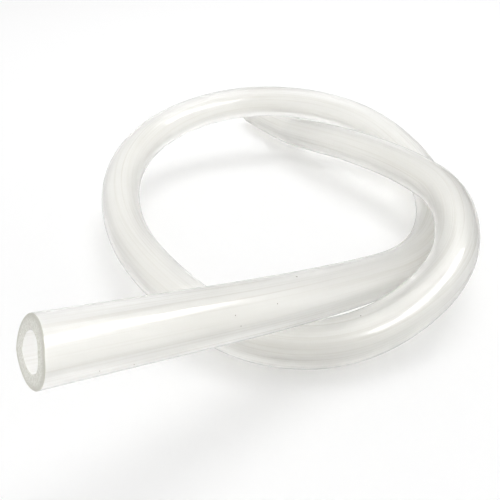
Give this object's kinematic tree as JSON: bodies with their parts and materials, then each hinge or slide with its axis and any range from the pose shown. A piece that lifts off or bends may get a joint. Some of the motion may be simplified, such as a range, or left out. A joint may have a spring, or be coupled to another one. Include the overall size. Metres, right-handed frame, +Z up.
{
  "type": "silicone tubing coil",
  "caption": "A length of soft translucent silicone tubing lying in a loose coil with one end raised, for joining barbed fittings on the bench.",
  "frame": {"origin": "on the floor under the middle of the coil's box", "axes": "+Z up from the floor the coil lies on; +Y from the raised near end's side of the coil towards the far end; +X to the right as seen from the near end"},
  "size_m": [0.1135, 0.1887, 0.0404],
  "materials": {
    "silicone": "milky translucent silicone, smooth and slightly glossy outside, matte where it is cut"
  },
  "bodies": {
    "root": {"tube": "silicone"}
  },
  "joints": []
}
